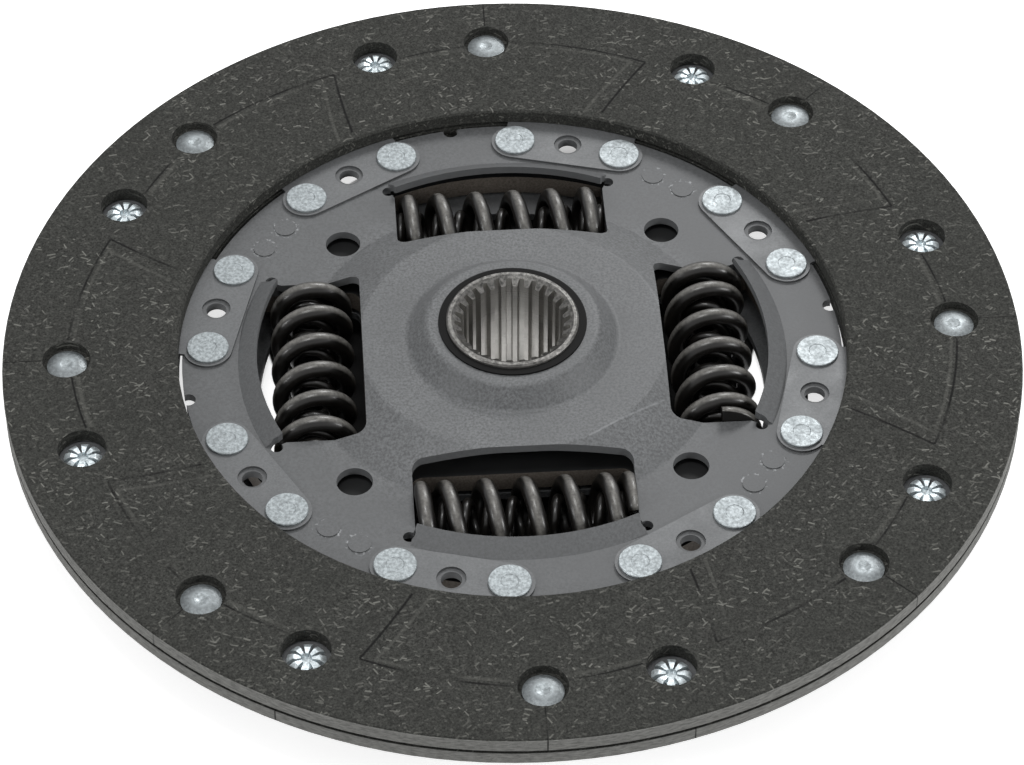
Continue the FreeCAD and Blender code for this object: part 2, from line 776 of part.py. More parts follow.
def simple_ring(name, inner, outer, under, over):
    body = new_body(name)
    turned(body, f"{name}_form", [(inner, under), (outer, under), (outer, over), (inner, over)])
    return body


def front_bush():
    """It hangs in the drive plate's boss and runs on the hub."""
    body = new_body("front_bush")
    bore = size("hub_outer") + size("running_clearance")
    neck = size("boss_hole") - size("running_clearance")
    shoulder = size("front_bush_shoulder")
    boss_under = boss_level - size("plate_thickness")
    turned(body, "front_bush_form", [
        (bore, plateau_under - size("front_bush_thickness")),
        (size("bush_flange_radius"), plateau_under - size("front_bush_thickness")),
        (size("bush_flange_radius"), plateau_under), (shoulder, plateau_under),
        (shoulder, boss_under - size("front_bush_shoulder_gap")),
        (neck, boss_under - size("front_bush_shoulder_gap")),
        (neck, boss_level + size("front_bush_end_gap")),
        (bore, boss_level + size("front_bush_end_gap"))])
    return body


def rear_bush():
    """It lies between the flange and the counter plate, with a collar through the plate."""
    body = new_body("rear_bush")
    bore = size("hub_outer") + size("running_clearance")
    collar = size("rear_bush_collar")
    turned(body, "rear_bush_form", [
        (bore, counter_under - size("rear_bush_end")),
        (collar, counter_under - size("rear_bush_end")), (collar, counter_top),
        (size("bush_flange_radius"), counter_top), (size("bush_flange_radius"), flange_under),
        (bore, flange_under)])
    return body


def friction_rings():
    friction_top = flange_top + size("friction_ring_thickness")
    pressure_top = friction_top + size("pressure_ring_thickness")
    bush_under = plateau_under - size("front_bush_thickness")
    gauge = size("disc_spring_thickness")
    friction = simple_ring("front_friction_ring", size("friction_ring_inner"),
                           size("friction_ring_outer"), flange_top, friction_top)
    pressure = simple_ring("pressure_ring", size("pressure_ring_inner"),
                           size("friction_ring_outer"), friction_top, pressure_top)
    disc = new_body("disc_spring")
    inner, outer = size("disc_spring_inner"), size("disc_spring_outer")
    turned(disc, "disc_spring_form", [
        (inner, bush_under - gauge), (outer, pressure_top), (outer, pressure_top + gauge),
        (inner, bush_under)])
    return [friction, pressure, disc]


# Damper springs: wire on a helix whose pitch tightens at both ends, with ground ends

def coil(mean_radius, wire_radius, turns, end_pitch, left_handed):
    free_length = 2 * (size("window_half_length") - size("spring_end_gap")).number
    wire, end_turns = wire_radius.number, 1.0
    wound = free_length - wire / 2
    middle_pitch = (wound - 2 * end_turns * end_pitch.number) / (turns.number - 2 * end_turns)
    steps = int(turns.number * 12)
    path = []
    for step in range(steps + 1):
        done = turns.number * step / steps
        left = turns.number - done
        if done < end_turns:
            advance = done * end_pitch.number
        elif left < end_turns:
            advance = wound - left * end_pitch.number
        else:
            advance = end_turns * end_pitch.number + (done - end_turns) * middle_pitch
        around = 2 * math.pi * done * (-1 if left_handed else 1)
        path.append(FreeCAD.Base.Vector2d(around, advance - wound / 2))
    cylinder = Part.Cylinder()
    cylinder.Radius = mean_radius.number
    curve = Part.Geom2d.BSplineCurve2d()
    curve.interpolate(path)
    helix = curve.toShape(cylinder)
    start = helix.FirstParameter
    section = Part.Circle(helix.valueAt(start), helix.tangentAt(start), wire)
    swept = Part.Wire([helix]).makePipeShell([Part.Wire([section.toShape()])], True, True)
    slice_radius = mean_radius.number + wire + 1
    ground = Part.makeCylinder(slice_radius, free_length, Vector(0, 0, -free_length / 2))
    return swept.common(ground)


def damper_springs(name, shape):
    """A spring in each window, lying across the radius at the flange's middle level and
    rolled about its own axis to where its wire ends came to rest."""
    springs = []
    pitch = 360 / count("window_count")
    lying = FreeCAD.Rotation(Vector(1, 0, 0), 90)
    for index in range(count("window_count")):
        spring = doc.addObject("Part::Feature", f"{name}_{index + 1}")
        spring.Label = f"{name}_{index + 1}"
        spring.Shape = shape.Solids[0]
        around = FreeCAD.Rotation(Vector(0, 0, 1), index * pitch)
        rolled = FreeCAD.Rotation(Vector(0, 0, 1), size(f"spring_roll_{index + 1}").number)
        reach = Vector(size("spring_axis_circle").number, 0, flange_middle.number)
        turn = around.multiply(lying).multiply(rolled)
        spring.Placement = FreeCAD.Placement(around.multVec(reach), turn)
        springs.append(spring)
    return springs


# The whole disc

def build():
    parts = [facing("front_facing"), facing("rear_facing")]
    over_axis = Vector(math.cos(math.radians((head_angle + tail_angle).number / 2)),
                          math.sin(math.radians((head_angle + tail_angle).number / 2)), 0)
    parts[1].Placement = FreeCAD.Placement(Vector(), FreeCAD.Rotation(over_axis, 180))

    segment_master = cushion_segment()
    for index in range(count("segment_count")):
        parts.append(cloned(segment_master, f"cushion_segment_{index + 1}",
                            first_segment + segment_pitch * index))

    facing_circle, foot_circle = size("facing_rivet_circle"), size("foot_rivet_circle")
    facing_master, foot_master = facing_rivet(), foot_rivet()
    places = [segment_pitch * index for index in range(count("segment_count"))]
    parts.append(rivet_group("front_facing_rivets", facing_master, facing_circle,
                             [head_angle + place for place in places]))
    parts.append(rivet_group("rear_facing_rivets", facing_master, facing_circle,
                             [tail_angle + place for place in places], turned_over=True))
    offset = size("foot_rivet_angle")
    parts.append(rivet_group("segment_rivets", foot_master, foot_circle,
                             [first_segment + place + side
                              for place in places for side in (-offset, offset)]))

    parts += [drive_plate(), counter_plate(), hub(), hub_flange(), front_bush(), rear_bush()]
    parts += friction_rings()
    outer = coil(size("outer_coil_radius"), size("outer_wire_radius"),
                 size("outer_coil_turns"), size("outer_end_pitch"), left_handed=False)
    inner = coil(size("inner_coil_radius"), size("inner_wire_radius"),
                 size("inner_coil_turns"), size("inner_end_pitch"), left_handed=True)
    parts += damper_springs("damper_spring", outer)
    parts += damper_springs("inner_spring", inner)
    return parts


def check_and_write(parts):
    doc.recompute()
    for item in doc.Objects:
        if "Invalid" in item.State or "Error" in item.State:
            raise RuntimeError(f"{item.Label} failed: {item.State}")
    for part in parts:
        if part.Shape.isNull() or not part.Shape.isValid() or not part.Shape.Solids:
            raise RuntimeError(f"{part.Label} has no valid shape")
    os.makedirs("parts", exist_ok=True)
    for part in parts:
        part.Shape.exportStep(os.path.join("parts", f"{part.Label}.step"))
        print(part.Label, len(part.Shape.Solids), "solids", round(part.Shape.Volume), "mm3")


check_and_write(build())
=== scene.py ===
"""A clutch disc dressed for rendering: the finish of every piece, the damper springs as
wound wire, and a plain studio stage. Lengths are metres unless a name says otherwise."""

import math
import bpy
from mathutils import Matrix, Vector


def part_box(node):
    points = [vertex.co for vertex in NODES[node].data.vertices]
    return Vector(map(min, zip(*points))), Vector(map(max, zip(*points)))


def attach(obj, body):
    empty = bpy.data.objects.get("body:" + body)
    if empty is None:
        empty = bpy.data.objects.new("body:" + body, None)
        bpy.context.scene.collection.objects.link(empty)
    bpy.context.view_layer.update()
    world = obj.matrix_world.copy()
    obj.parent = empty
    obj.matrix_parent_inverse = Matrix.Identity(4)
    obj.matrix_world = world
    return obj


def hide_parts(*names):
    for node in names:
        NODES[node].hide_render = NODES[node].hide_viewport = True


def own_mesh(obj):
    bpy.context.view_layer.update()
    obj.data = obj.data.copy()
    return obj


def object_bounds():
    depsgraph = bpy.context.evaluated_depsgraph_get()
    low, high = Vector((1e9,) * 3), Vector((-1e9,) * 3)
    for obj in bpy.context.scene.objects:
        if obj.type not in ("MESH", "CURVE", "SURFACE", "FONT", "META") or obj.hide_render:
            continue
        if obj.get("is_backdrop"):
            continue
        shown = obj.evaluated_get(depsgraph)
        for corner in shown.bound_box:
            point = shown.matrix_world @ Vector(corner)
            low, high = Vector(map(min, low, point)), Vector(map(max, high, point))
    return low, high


bl_info = {
    "name": "Clutch Disc",
    "version": (1, 0, 0),
    "blender": (4, 5, 0),
    "location": "3D View > Sidebar > Clutch Disc",
    "description": "Dresses a riveted clutch disc and sets up its studio stage",
    "category": "Object",
}

import bpy
import numpy as np
from mathutils import Matrix, Vector

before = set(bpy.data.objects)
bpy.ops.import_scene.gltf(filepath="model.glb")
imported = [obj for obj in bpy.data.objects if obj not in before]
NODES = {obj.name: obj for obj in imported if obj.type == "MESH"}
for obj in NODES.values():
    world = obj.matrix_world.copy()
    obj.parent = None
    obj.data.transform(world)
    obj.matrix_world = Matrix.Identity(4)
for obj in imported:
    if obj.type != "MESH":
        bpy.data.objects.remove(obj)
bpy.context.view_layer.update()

MM = 0.001


# Places on the disc, in millimetres and degrees

FACING_RIM = 114.0
# Width of the band inside the facing's rim that carries a painted highlight
RIM_HIGHLIGHT_BAND = 0.15
SEGMENT_PITCH = 45.0
FACING_RIVET_CIRCLE = 99.7
REAR_IMPRINT_ANGLE = 375.74
TENON_PITCH = 90.0
TENON_ANGLE, TENON_SPREAD, TENON_RADIUS = 52.87, 3.55, 65.9
SCRATCH_START, SCRATCH_END = Vector((14.7, -31.4, 0)), Vector((32.4, -20.5, 0))

# Imprint lines on a facing: start and end, each as degrees from the nearest smooth rivet head
# and a radius, and half the line's width. Spokes run inwards and arcs run round.
# The dark lines are painted shade on the walls of the pressed grooves
SHADED_GROOVE_SPOKES = [((25.5, 77.5), (22.3, 97.5), 0.42)]
SHADED_GROOVE_ARCS = [((22.3, 97.6), (41.5, 99.6), 0.38), ((3.2, 98.6), (12.5, 97.4), 0.32)]
PALE_SPOKES = [((28.6, 76.5), (24.3, 96.6), 0.55)]
PALE_ARCS = [((24.0, 96.7), (41.5, 98.3), 0.5), ((3.2, 97.2), (12.5, 96.3), 0.7)]
RIM_LINE_FROM, RIM_LINE_TO, RIM_LINE_WIDTH = 105.4, 114.5, 0.22
RIM_MM_PER_DEGREE = 1.9

# Directions of the facing's fibres: turn in radians, share of the cells that hold a fibre,
# and half of a fibre's thickness. Their rows lie FIBRE_ROW millimetres apart.
FIBRE_LAYERS = [
    (0.35, 0.22, 0.21),
    (1.05, 0.12, 0.18),
    (2.35, 0.16, 0.19),
    (2.95, 0.20, 0.22),
]
FIBRE_ROW = 1.2

# Faces whose normal rises less than this are taken as upright
UPRIGHT = 0.5

# The attribute of a wound wire that is 1 along its outermost line, where a painted highlight
# goes
CREST = "crest"

# Wound wire: its smoothness, the part of a turn over which the pitch opens, and, for each
# spring, how far it is rolled on its own axis
WIRE_STEPS_PER_TURN, WIRE_SIDES = 40, 20
PITCH_EASE = 0.35
SPRING_PITCH = 90.0
SPRING_ROLLS = {1: 270.0, 2: 183.6, 3: 169.2, 4: 54.0}

# Colours that no setting changes
# Painted highlight on the facing's rim
RIM_PAINTED_HIGHLIGHT = (0.22, 0.22, 0.21, 1)
IMPRINT_SHADE = (0.003, 0.003, 0.003, 1)
PUNCHED_EDGE_DARK, PUNCHED_EDGE_LIGHT = (0.085, 0.072, 0.06, 1), (0.17, 0.15, 0.13, 1)
# The bushes' black, partly painted shade round the hub
BUSH_DARK, BUSH_LIGHT = (0.003, 0.003, 0.003, 1), (0.008, 0.008, 0.008, 1)
WHITE = (1, 1, 1, 1)

# The floor and its painted shadow below the disc, in millimetres: circles as x, y, radius and
# the width of their soft edge, and the painted shadow's cut corners and far end as where they
# start and stop fading
FLOOR_PAINTED_SHADOW, FLOOR_PALE = (0.01, 0.01, 0.01, 1), (0.8, 0.8, 0.8, 1)
FLOOR_GLOW = 0.7
FLOOR_REACH, FLOOR_GAP = 2500, 0.2
PAINTED_SHADOW_BELOW_SPRINGS = [(1.5, 30, 60, 0.5), (1.3, 0, 55.6, 0.6)]
BELOW_BORE = (0, 4, 18, 4)
CORNER_X, CORNER_Y = (30, 42), (51, 62)
PAINTED_SHADOW_REACH_Y = (74, 88)

# Lamps: name, place, width and share of the key's power
LAMPS = [
    ("key_lamp", (0.35, 0.9, 0.8), 0.4, 0.8),
    ("top_lamp", (-0.1, -0.1, 1.3), 0.4, 0.8),
    ("right_lamp", (0.95, -0.35, 0.36), 0.25, 0.5),
    ("left_lamp", (-0.9, -0.4, 0.5), 0.25, 0.3),
]
SENSOR_WIDTH_MM = 36
CAMERA_NEAR = 0.05


# Sizes and colours that a user would change

class ClutchDiscSizes(bpy.types.PropertyGroup):
    outer_wire: bpy.props.FloatProperty(
        name="Outer wire radius", description="Radius of the outer damper springs' wire",
        default=1.85 * MM, min=0.5 * MM, unit="LENGTH")
    outer_turns: bpy.props.FloatProperty(
        name="Outer turns", description="Turns of wire in an outer damper spring",
        default=6.5, min=2)
    outer_end_pitch: bpy.props.FloatProperty(
        name="Outer end pitch", description="Rise of the first and last turn of an outer spring",
        default=4.0 * MM, unit="LENGTH")
    inner_wire: bpy.props.FloatProperty(
        name="Inner wire radius", description="Radius of the inner damper springs' wire",
        default=1.1 * MM, min=0.3 * MM, unit="LENGTH")
    inner_turns: bpy.props.FloatProperty(
        name="Inner turns", description="Turns of wire in an inner damper spring",
        default=10.5, min=2)
    inner_end_pitch: bpy.props.FloatProperty(
        name="Inner end pitch", description="Rise of the first and last turn of an inner spring",
        default=3.0 * MM, unit="LENGTH")
    spring_keep: bpy.props.FloatProperty(
        name="Spring keep", description="Share of its length that a spring keeps at full travel",
        default=0.835, min=0.1, max=1, subtype="FACTOR")
    fibre_length_mm: bpy.props.FloatProperty(
        name="Fibre cell length",
        description="Spacing of the facing's fibres along themselves, in millimetres",
        default=2.2, min=0.5)


class ClutchDiscColours(bpy.types.PropertyGroup):
    facing: bpy.props.FloatVectorProperty(
        name="Facing", description="Ground friction compound", subtype="COLOR", size=4,
        default=(0.0285, 0.029, 0.0265, 1), min=0, max=1)
    fibre: bpy.props.FloatVectorProperty(
        name="Fibre", description="Pale fibres in the compound", subtype="COLOR", size=4,
        default=(0.165, 0.165, 0.15, 1), min=0, max=1)
    plate: bpy.props.FloatVectorProperty(
        name="Plate", description="Phosphated sheet steel", subtype="COLOR", size=4,
        default=(0.093, 0.096, 0.099, 1), min=0, max=1)
    zinc: bpy.props.FloatVectorProperty(
        name="Zinc", description="Plating of the rivets", subtype="COLOR", size=4,
        default=(0.245, 0.270, 0.280, 1), min=0, max=1)
    hub: bpy.props.FloatVectorProperty(
        name="Hub steel", description="Turned bare steel", subtype="COLOR", size=4,
        default=(0.46, 0.45, 0.43, 1), min=0, max=1)
    spring: bpy.props.FloatVectorProperty(
        name="Spring steel", description="Oil-blackened wire", subtype="COLOR", size=4,
        default=(0.005, 0.0045, 0.004, 1), min=0, max=1)
    # A painted highlight along the outer springs' crests
    wear_and_highlight: bpy.props.FloatVectorProperty(
        name="Painted crest highlight", description="Outermost line of the wire, painted lighter as a highlight",
        subtype="COLOR", size=4, default=(0.15, 0.145, 0.135, 1), min=0, max=1)


class ClutchDiscStage(bpy.types.PropertyGroup):
    lens_mm: bpy.props.FloatProperty(
        name="Lens", description="Focal length in millimetres", default=139.9, min=10,
        unit="CAMERA")
    distance: bpy.props.FloatProperty(
        name="Distance", description="From the aim point to the camera", default=0.8955,
        min=0.1, unit="LENGTH")
    azimuth: bpy.props.FloatProperty(
        name="Azimuth", description="Turn of the camera round the disc",
        default=math.radians(-3.65), subtype="ANGLE")
    elevation: bpy.props.FloatProperty(
        name="Elevation", description="Height of the camera over the disc's plane",
        default=math.radians(46.725), subtype="ANGLE")
    aim: bpy.props.FloatVectorProperty(
        name="Aim", description="Point at the middle of the picture",
        default=(-0.0004, -0.0044, -0.0056), subtype="TRANSLATION")
    sky_strength: bpy.props.FloatProperty(
        name="Sky", description="Strength of the even light from all round", default=0.5, min=0)
    key_strength: bpy.props.FloatProperty(
        name="Key", description="Power that the lamps' shares are taken from, in watts",
        default=8.5, min=0, unit="POWER")


class ClutchDiscSettings(bpy.types.PropertyGroup):
    sizes: bpy.props.PointerProperty(
        name="Sizes", description="Sizes of the springs and the fibres", type=ClutchDiscSizes)
    colours: bpy.props.PointerProperty(
        name="Colours", description="Colours of the finishes", type=ClutchDiscColours)
    stage: bpy.props.PointerProperty(
        name="Stage", description="Camera and light", type=ClutchDiscStage)


# Building node trees

class Tree:
    """A node tree of a material, a group or a world, with short ways to add to it."""

    def __init__(self, tree):
        self.tree = tree

    def feed(self, socket, value):
        """Link a socket to another node's output, or set it to a plain value."""
        if isinstance(value, bpy.types.NodeSocket):
            self.tree.links.new(value, socket)
        else:
            socket.default_value = value

    def add(self, kind, inputs=None, **settings):
        """A new node with its settings, and with its inputs fed by name or number."""
        node = self.tree.nodes.new(kind)
        for name, value in settings.items():
            setattr(node, name, value)
        for name, value in (inputs or {}).items():
            self.feed(node.inputs[name], value)
        return node

    def maths(self, operation, *values):
        node = self.add("ShaderNodeMath", operation=operation)
        for socket, value in zip(node.inputs, values):
            self.feed(socket, value)
        return node.outputs[0]

    def fold(self, operation, values):
        """One operation over two or more values, from the first to the last."""
        total = values[0]
        for value in values[1:]:
            total = self.maths(operation, total, value)
        return total

    def times(self, *values):
        return self.fold("MULTIPLY", values)

    def largest(self, *values):
        return self.fold("MAXIMUM", values)

    def plus(self, *values):
        return self.fold("ADD", values)

    def minus(self, value, less):
        return self.maths("SUBTRACT", value, less)

    def size(self, value):
        return self.maths("ABSOLUTE", value)

    def distance(self, x, y):
        """How far a point lies from the origin of a plane."""
        return self.maths("SQRT", self.plus(self.times(x, x), self.times(y, y)))

    def within(self, value, low, high):
        """1 between two values, and 0 outside them."""
        return self.times(self.maths("GREATER_THAN", value, low),
                          self.maths("LESS_THAN", value, high))

    def vector(self, operation, *values):
        node = self.add("ShaderNodeVectorMath", operation=operation)
        for socket, value in zip(node.inputs, values):
            self.feed(socket, value)
        return node.outputs["Value" if operation == "DISTANCE" else "Vector"]

    def axes(self, vector):
        """The X, Y and Z of a vector."""
        return tuple(self.add("ShaderNodeSeparateXYZ", {"Vector": vector}).outputs)

    def remap(self, value, low, high, to_low=0.0, to_high=1.0):
        """A value carried evenly from one range to another, and held at its ends."""
        node = self.add("ShaderNodeMapRange", {
            "Value": value, "From Min": low, "From Max": high,
            "To Min": to_low, "To Max": to_high})
        return node.outputs[0]

    def blend(self, factor, first, second):
        """The first colour where the factor is 0, and the second where it is 1."""
        node = self.add("ShaderNodeMix", data_type="RGBA")
        self.feed(node.inputs[0], factor)
        self.feed(node.inputs[6], first)
        self.feed(node.inputs[7], second)
        return node.outputs[2]

    def noise(self, vector, scale, detail=2.0, roughness=0.5, dimensions="3D"):
        node = self.add("ShaderNodeTexNoise", {
            "Scale": scale, "Detail": detail, "Roughness": roughness},
            noise_dimensions=dimensions)
        self.feed(node.inputs["W" if dimensions == "1D" else "Vector"], vector)
        return node.outputs[0]

    def group(self, maker, inputs):
        """The outputs of a shared group, placed here with its own inputs."""
        node = self.add("ShaderNodeGroup", node_tree=shared_group(maker))
        for name, value in inputs.items():
            self.feed(node.inputs[name], value)
        return node.outputs


GROUPS = {}


def shared_group(maker):
    """The node group that a function makes, built the first time that it is asked for."""
    if maker.__name__ not in GROUPS:
        GROUPS[maker.__name__] = maker()
    return GROUPS[maker.__name__]


def new_group(name, inputs, outputs):
    """A shader node group; inputs are name, kind and default, outputs name and kind."""
    group = bpy.data.node_groups.new(name, "ShaderNodeTree")
    for label, kind, default in inputs:
        socket = group.interface.new_socket(
            label, in_out="INPUT", socket_type=f"NodeSocket{kind}")
        if default is not None:
            socket.default_value = default
    for label, kind in outputs:
        group.interface.new_socket(label, in_out="OUTPUT", socket_type=f"NodeSocket{kind}")
    tree = Tree(group)
    return group, tree, tree.add("NodeGroupInput").outputs, tree.add("NodeGroupOutput").inputs


# Effects that the materials share

def polar_millimetres():
    """Object space as millimetres: the place, the same place laid flat where the surface is
    upright, the radius, and the angle in degrees from 0 to 360."""
    group, tree, given, out = new_group(
        "Polar millimetres", [("Vector", "Vector", None), ("Normal Z", "Float", 1.0)],
        [("Vector", "Vector"), ("Flat", "Vector"), ("Radius", "Float"), ("Angle", "Float")])
    scaled = tree.vector("MULTIPLY", given["Vector"], (1 / MM, 1 / MM, 1 / MM))
    x, y, z = tree.axes(scaled)
    radius = tree.distance(x, y)
    radians = tree.maths("ARCTAN2", y, x)
    wrapped = tree.add("ShaderNodeCombineXYZ", {
        "X": tree.times(radians, FACING_RIM), "Y": z, "Z": radius}).outputs[0]
    flat = tree.add("ShaderNodeMix", data_type="VECTOR")
    tree.feed(flat.inputs[0], tree.maths("LESS_THAN", tree.size(given["Normal Z"]), UPRIGHT))
    tree.feed(flat.inputs[4], scaled)
    tree.feed(flat.inputs[5], wrapped)
    tree.feed(out["Vector"], scaled)
    tree.feed(out["Flat"], flat.outputs[1])
    tree.feed(out["Radius"], radius)
    tree.feed(out["Angle"], tree.maths("FLOORED_MODULO", tree.maths("DEGREES", radians), 360.0))
    return group


def strands():
    """Short straight fibres, all turned one way. Lengths are in millimetres."""
    group, tree, given, out = new_group(
        "Strands",
        [("Vector", "Vector", None), ("Turn", "Float", 0.0), ("Length", "Float", 5.0),
         ("Width", "Float", FIBRE_ROW), ("Share", "Float", 0.3), ("Thickness", "Float", 0.12)],
        [("Mask", "Float")])
    wander = tree.add("ShaderNodeTexNoise", {
        "Vector": given["Vector"], "Scale": 0.35, "Detail": 1.0}).outputs["Color"]
    bent = tree.vector("MULTIPLY_ADD", wander, (0.8, 0.8, 0), given["Vector"])
    turned = tree.add("ShaderNodeVectorRotate", {
        "Vector": bent, "Angle": given["Turn"]}, rotation_type="Z_AXIS").outputs[0]
    cell = tree.add("ShaderNodeCombineXYZ", {
        "X": given["Length"], "Y": given["Width"], "Z": 1.0}).outputs[0]
    flat = tree.vector("DIVIDE", turned, cell)
    cells = tree.add("ShaderNodeTexVoronoi", {
        "Vector": flat, "Scale": 1.0, "Randomness": 0.9}, voronoi_dimensions="2D").outputs
    aside = tree.vector("ABSOLUTE", tree.vector("SUBTRACT", flat, cells["Position"]))
    off_along, off_across, _ = tree.axes(aside)
    present, length, brightness = tree.add(
        "ShaderNodeSeparateColor", {"Color": cells["Color"]}).outputs
    reach = tree.times(length, 0.42)
    along = tree.remap(off_along, tree.plus(reach, 0.05), reach)
    across = tree.remap(off_across, given["Thickness"], tree.times(given["Thickness"], 0.4))
    chosen = tree.maths("LESS_THAN", present, given["Share"])
    tree.feed(out["Mask"], tree.times(
        along, across, chosen, tree.remap(brightness, 0.0, 1.0, 0.12, 1.0)))
    return group


def imprint_and_groove_shade():
    """Hairlines that the segments and the mould leave in a facing, once for each segment: the
    dark lines along the grooves are painted shade on their walls, and the pale ones run beside
    them.
    Angles are degrees from the nearest smooth rivet head."""
    group, tree, given, out = new_group(
        "Imprint lines and groove shade", [("Radius", "Float", 90.0), ("Angle", "Float", 0.0),
                          ("Vector", "Vector", None)],
        [("Dark", "Float"), ("Pale", "Float")])
    local = tree.maths("FLOORED_MODULO", given["Angle"], SEGMENT_PITCH)
    radius = given["Radius"]

    def stroke(distance, width):
        return tree.remap(tree.size(distance), width, width * 0.35)

    def arc(start, end, width):
        middle = tree.remap(local, start[0], end[0], start[1], end[1])
        return tree.times(stroke(tree.minus(radius, middle), width),
                          tree.within(local, start[0], end[0]))

    def spoke(start, end, width):
        middle = tree.remap(radius, start[1], end[1], start[0], end[0])
        aside = tree.times(tree.minus(local, middle), tree.times(radius, math.pi / 180))
        return tree.times(stroke(aside, width), tree.within(radius, start[1], end[1]))

    # A short line at the rim, straight out from each smooth rivet head
    off_rivet = tree.maths("PINGPONG", given["Angle"], SEGMENT_PITCH / 2)
    rim = tree.times(stroke(tree.times(off_rivet, RIM_MM_PER_DEGREE), RIM_LINE_WIDTH),
                     tree.within(radius, RIM_LINE_FROM, RIM_LINE_TO))
    wear_and_painted_light = tree.remap(tree.noise(given["Vector"], 0.09), 0.30, 0.55)
    dark = [spoke(*line) for line in SHADED_GROOVE_SPOKES] + [arc(*line) for line in SHADED_GROOVE_ARCS]
    pale = [spoke(*line) for line in PALE_SPOKES] + [arc(*line) for line in PALE_ARCS]
    tree.feed(out["Dark"], tree.times(tree.largest(*dark, rim), wear_and_painted_light))
    tree.feed(out["Pale"], tree.times(tree.largest(*pale), wear_and_painted_light))
    return group


def mottle():
    """Fine crystals and broad patches of a phosphated or plated surface, in millimetres."""
    group, tree, given, out = new_group(
        "Mottle", [("Vector", "Vector", None), ("Fine", "Float", 3.0), ("Broad", "Float", 0.08)],
        [("Fine", "Float"), ("Broad", "Float"), ("Height", "Float")])
    fine = tree.noise(given["Vector"], given["Fine"], detail=3.0, roughness=0.65)
    broad = tree.noise(given["Vector"], given["Broad"], detail=3.0, roughness=0.55)
    tree.feed(out["Fine"], fine)
    tree.feed(out["Broad"], broad)
    tree.feed(out["Height"], tree.times(fine, 0.6))
    return group


def turning_marks():
    """Fine rings left by a lathe, as a height, from the radius and the level in millimetres."""
    group, tree, given, out = new_group(
        "Turning marks", [("Radius", "Float", 10.0), ("Level", "Float", 0.0),
                          ("Pitch", "Float", 6.0)], [("Height", "Float")])
    path = tree.times(tree.plus(given["Radius"], given["Level"]), given["Pitch"])
    tree.feed(out["Height"], tree.noise(path, 1.0, detail=3.0, roughness=0.6, dimensions="1D"))
    return group


def plate_wear():
    """Where the drive plate is marked: the staked ends of the tenons near its rim, and one
    long scratch across the plateau."""
    group, tree, given, out = new_group(
        "Plate wear", [("Vector", "Vector", None), ("Radius", "Float", 50.0),
                       ("Angle", "Float", 0.0)], [("Staked", "Float"), ("Scratch", "Float")])
    half = TENON_PITCH / 2
    turned = tree.minus(given["Angle"], TENON_ANGLE - half)
    local = tree.minus(tree.maths("FLOORED_MODULO", turned, TENON_PITCH), half)
    beside = tree.times(tree.minus(tree.size(local), TENON_SPREAD),
                        TENON_RADIUS * math.pi / 180)
    away = tree.distance(beside, tree.minus(given["Radius"], TENON_RADIUS))
    ragged = tree.remap(tree.noise(given["Vector"], 1.1, detail=3.0), 0.3, 0.7, -0.9, 0.9)
    tree.feed(out["Staked"], tree.remap(tree.plus(away, ragged), 2.9, 2.1))

    along = (SCRATCH_END - SCRATCH_START).normalized()
    x, y, _ = tree.axes(tree.vector("SUBTRACT", given["Vector"], SCRATCH_START))
    done = tree.plus(tree.times(x, along.x), tree.times(y, along.y))
    aside = tree.minus(tree.times(y, along.x), tree.times(x, along.y))
    line = tree.remap(tree.size(aside), 0.30, 0.10)
    inside = tree.within(done, 0.0, (SCRATCH_END - SCRATCH_START).length)
    broken = tree.remap(
        tree.noise(given["Vector"], 0.7, detail=3.0), 0.35, 0.65, 0.2, 1.0)
    tree.feed(out["Scratch"], tree.times(line, inside, broken))
    return group


# Materials

def darker(colour, share):
    """A share of a colour, at full opacity."""
    return tuple(channel * share for channel in colour[:3]) + (1,)


def lighter(colour, share):
    """A multiple of a colour, held at white."""
    return tuple(min(channel * share, 1) for channel in colour[:3]) + (1,)


class Finish:
    """A material being made. It knows each point's place in millimetres, the same place laid
    flat on upright faces, its radius and angle on the disc, and how level the surface is."""

    def __init__(self, name, **plain):
        """Plain holds the unvarying values of the Principled shader's own sockets."""
        self.material = bpy.data.materials.new(name)
        self.material.use_nodes = True
        self.shader = self.material.node_tree.nodes["Principled BSDF"]
        for label, value in plain.items():
            self.shader.inputs[label.replace("_", " ")].default_value = value
        self.tree = Tree(self.material.node_tree)
        rise = self.tree.axes(self.tree.add("ShaderNodeNewGeometry").outputs["Normal"])[2]
        self.place, self.flat, self.radius, self.angle = self.tree.group(polar_millimetres, {
            "Vector": self.tree.add("ShaderNodeTexCoord").outputs["Object"],
            "Normal Z": rise})
        self.level = self.tree.size(rise)

    def mottle(self, fine, broad):
        """Fine spots, broad patches and a height, from their scales per millimetre."""
        return self.tree.group(mottle, {"Vector": self.place, "Fine": fine, "Broad": broad})

    def done(self, base, roughness, height, depth_mm, strength):
        """Feed the shader what changes over the surface, and return the material."""
        bump = self.tree.add("ShaderNodeBump", {
            "Height": height, "Distance": depth_mm * MM, "Strength": strength})
        self.tree.feed(self.shader.inputs["Base Color"], base)
        self.tree.feed(self.shader.inputs["Roughness"], roughness)
        self.tree.feed(self.shader.inputs["Normal"], bump.outputs[0])
        return self.material


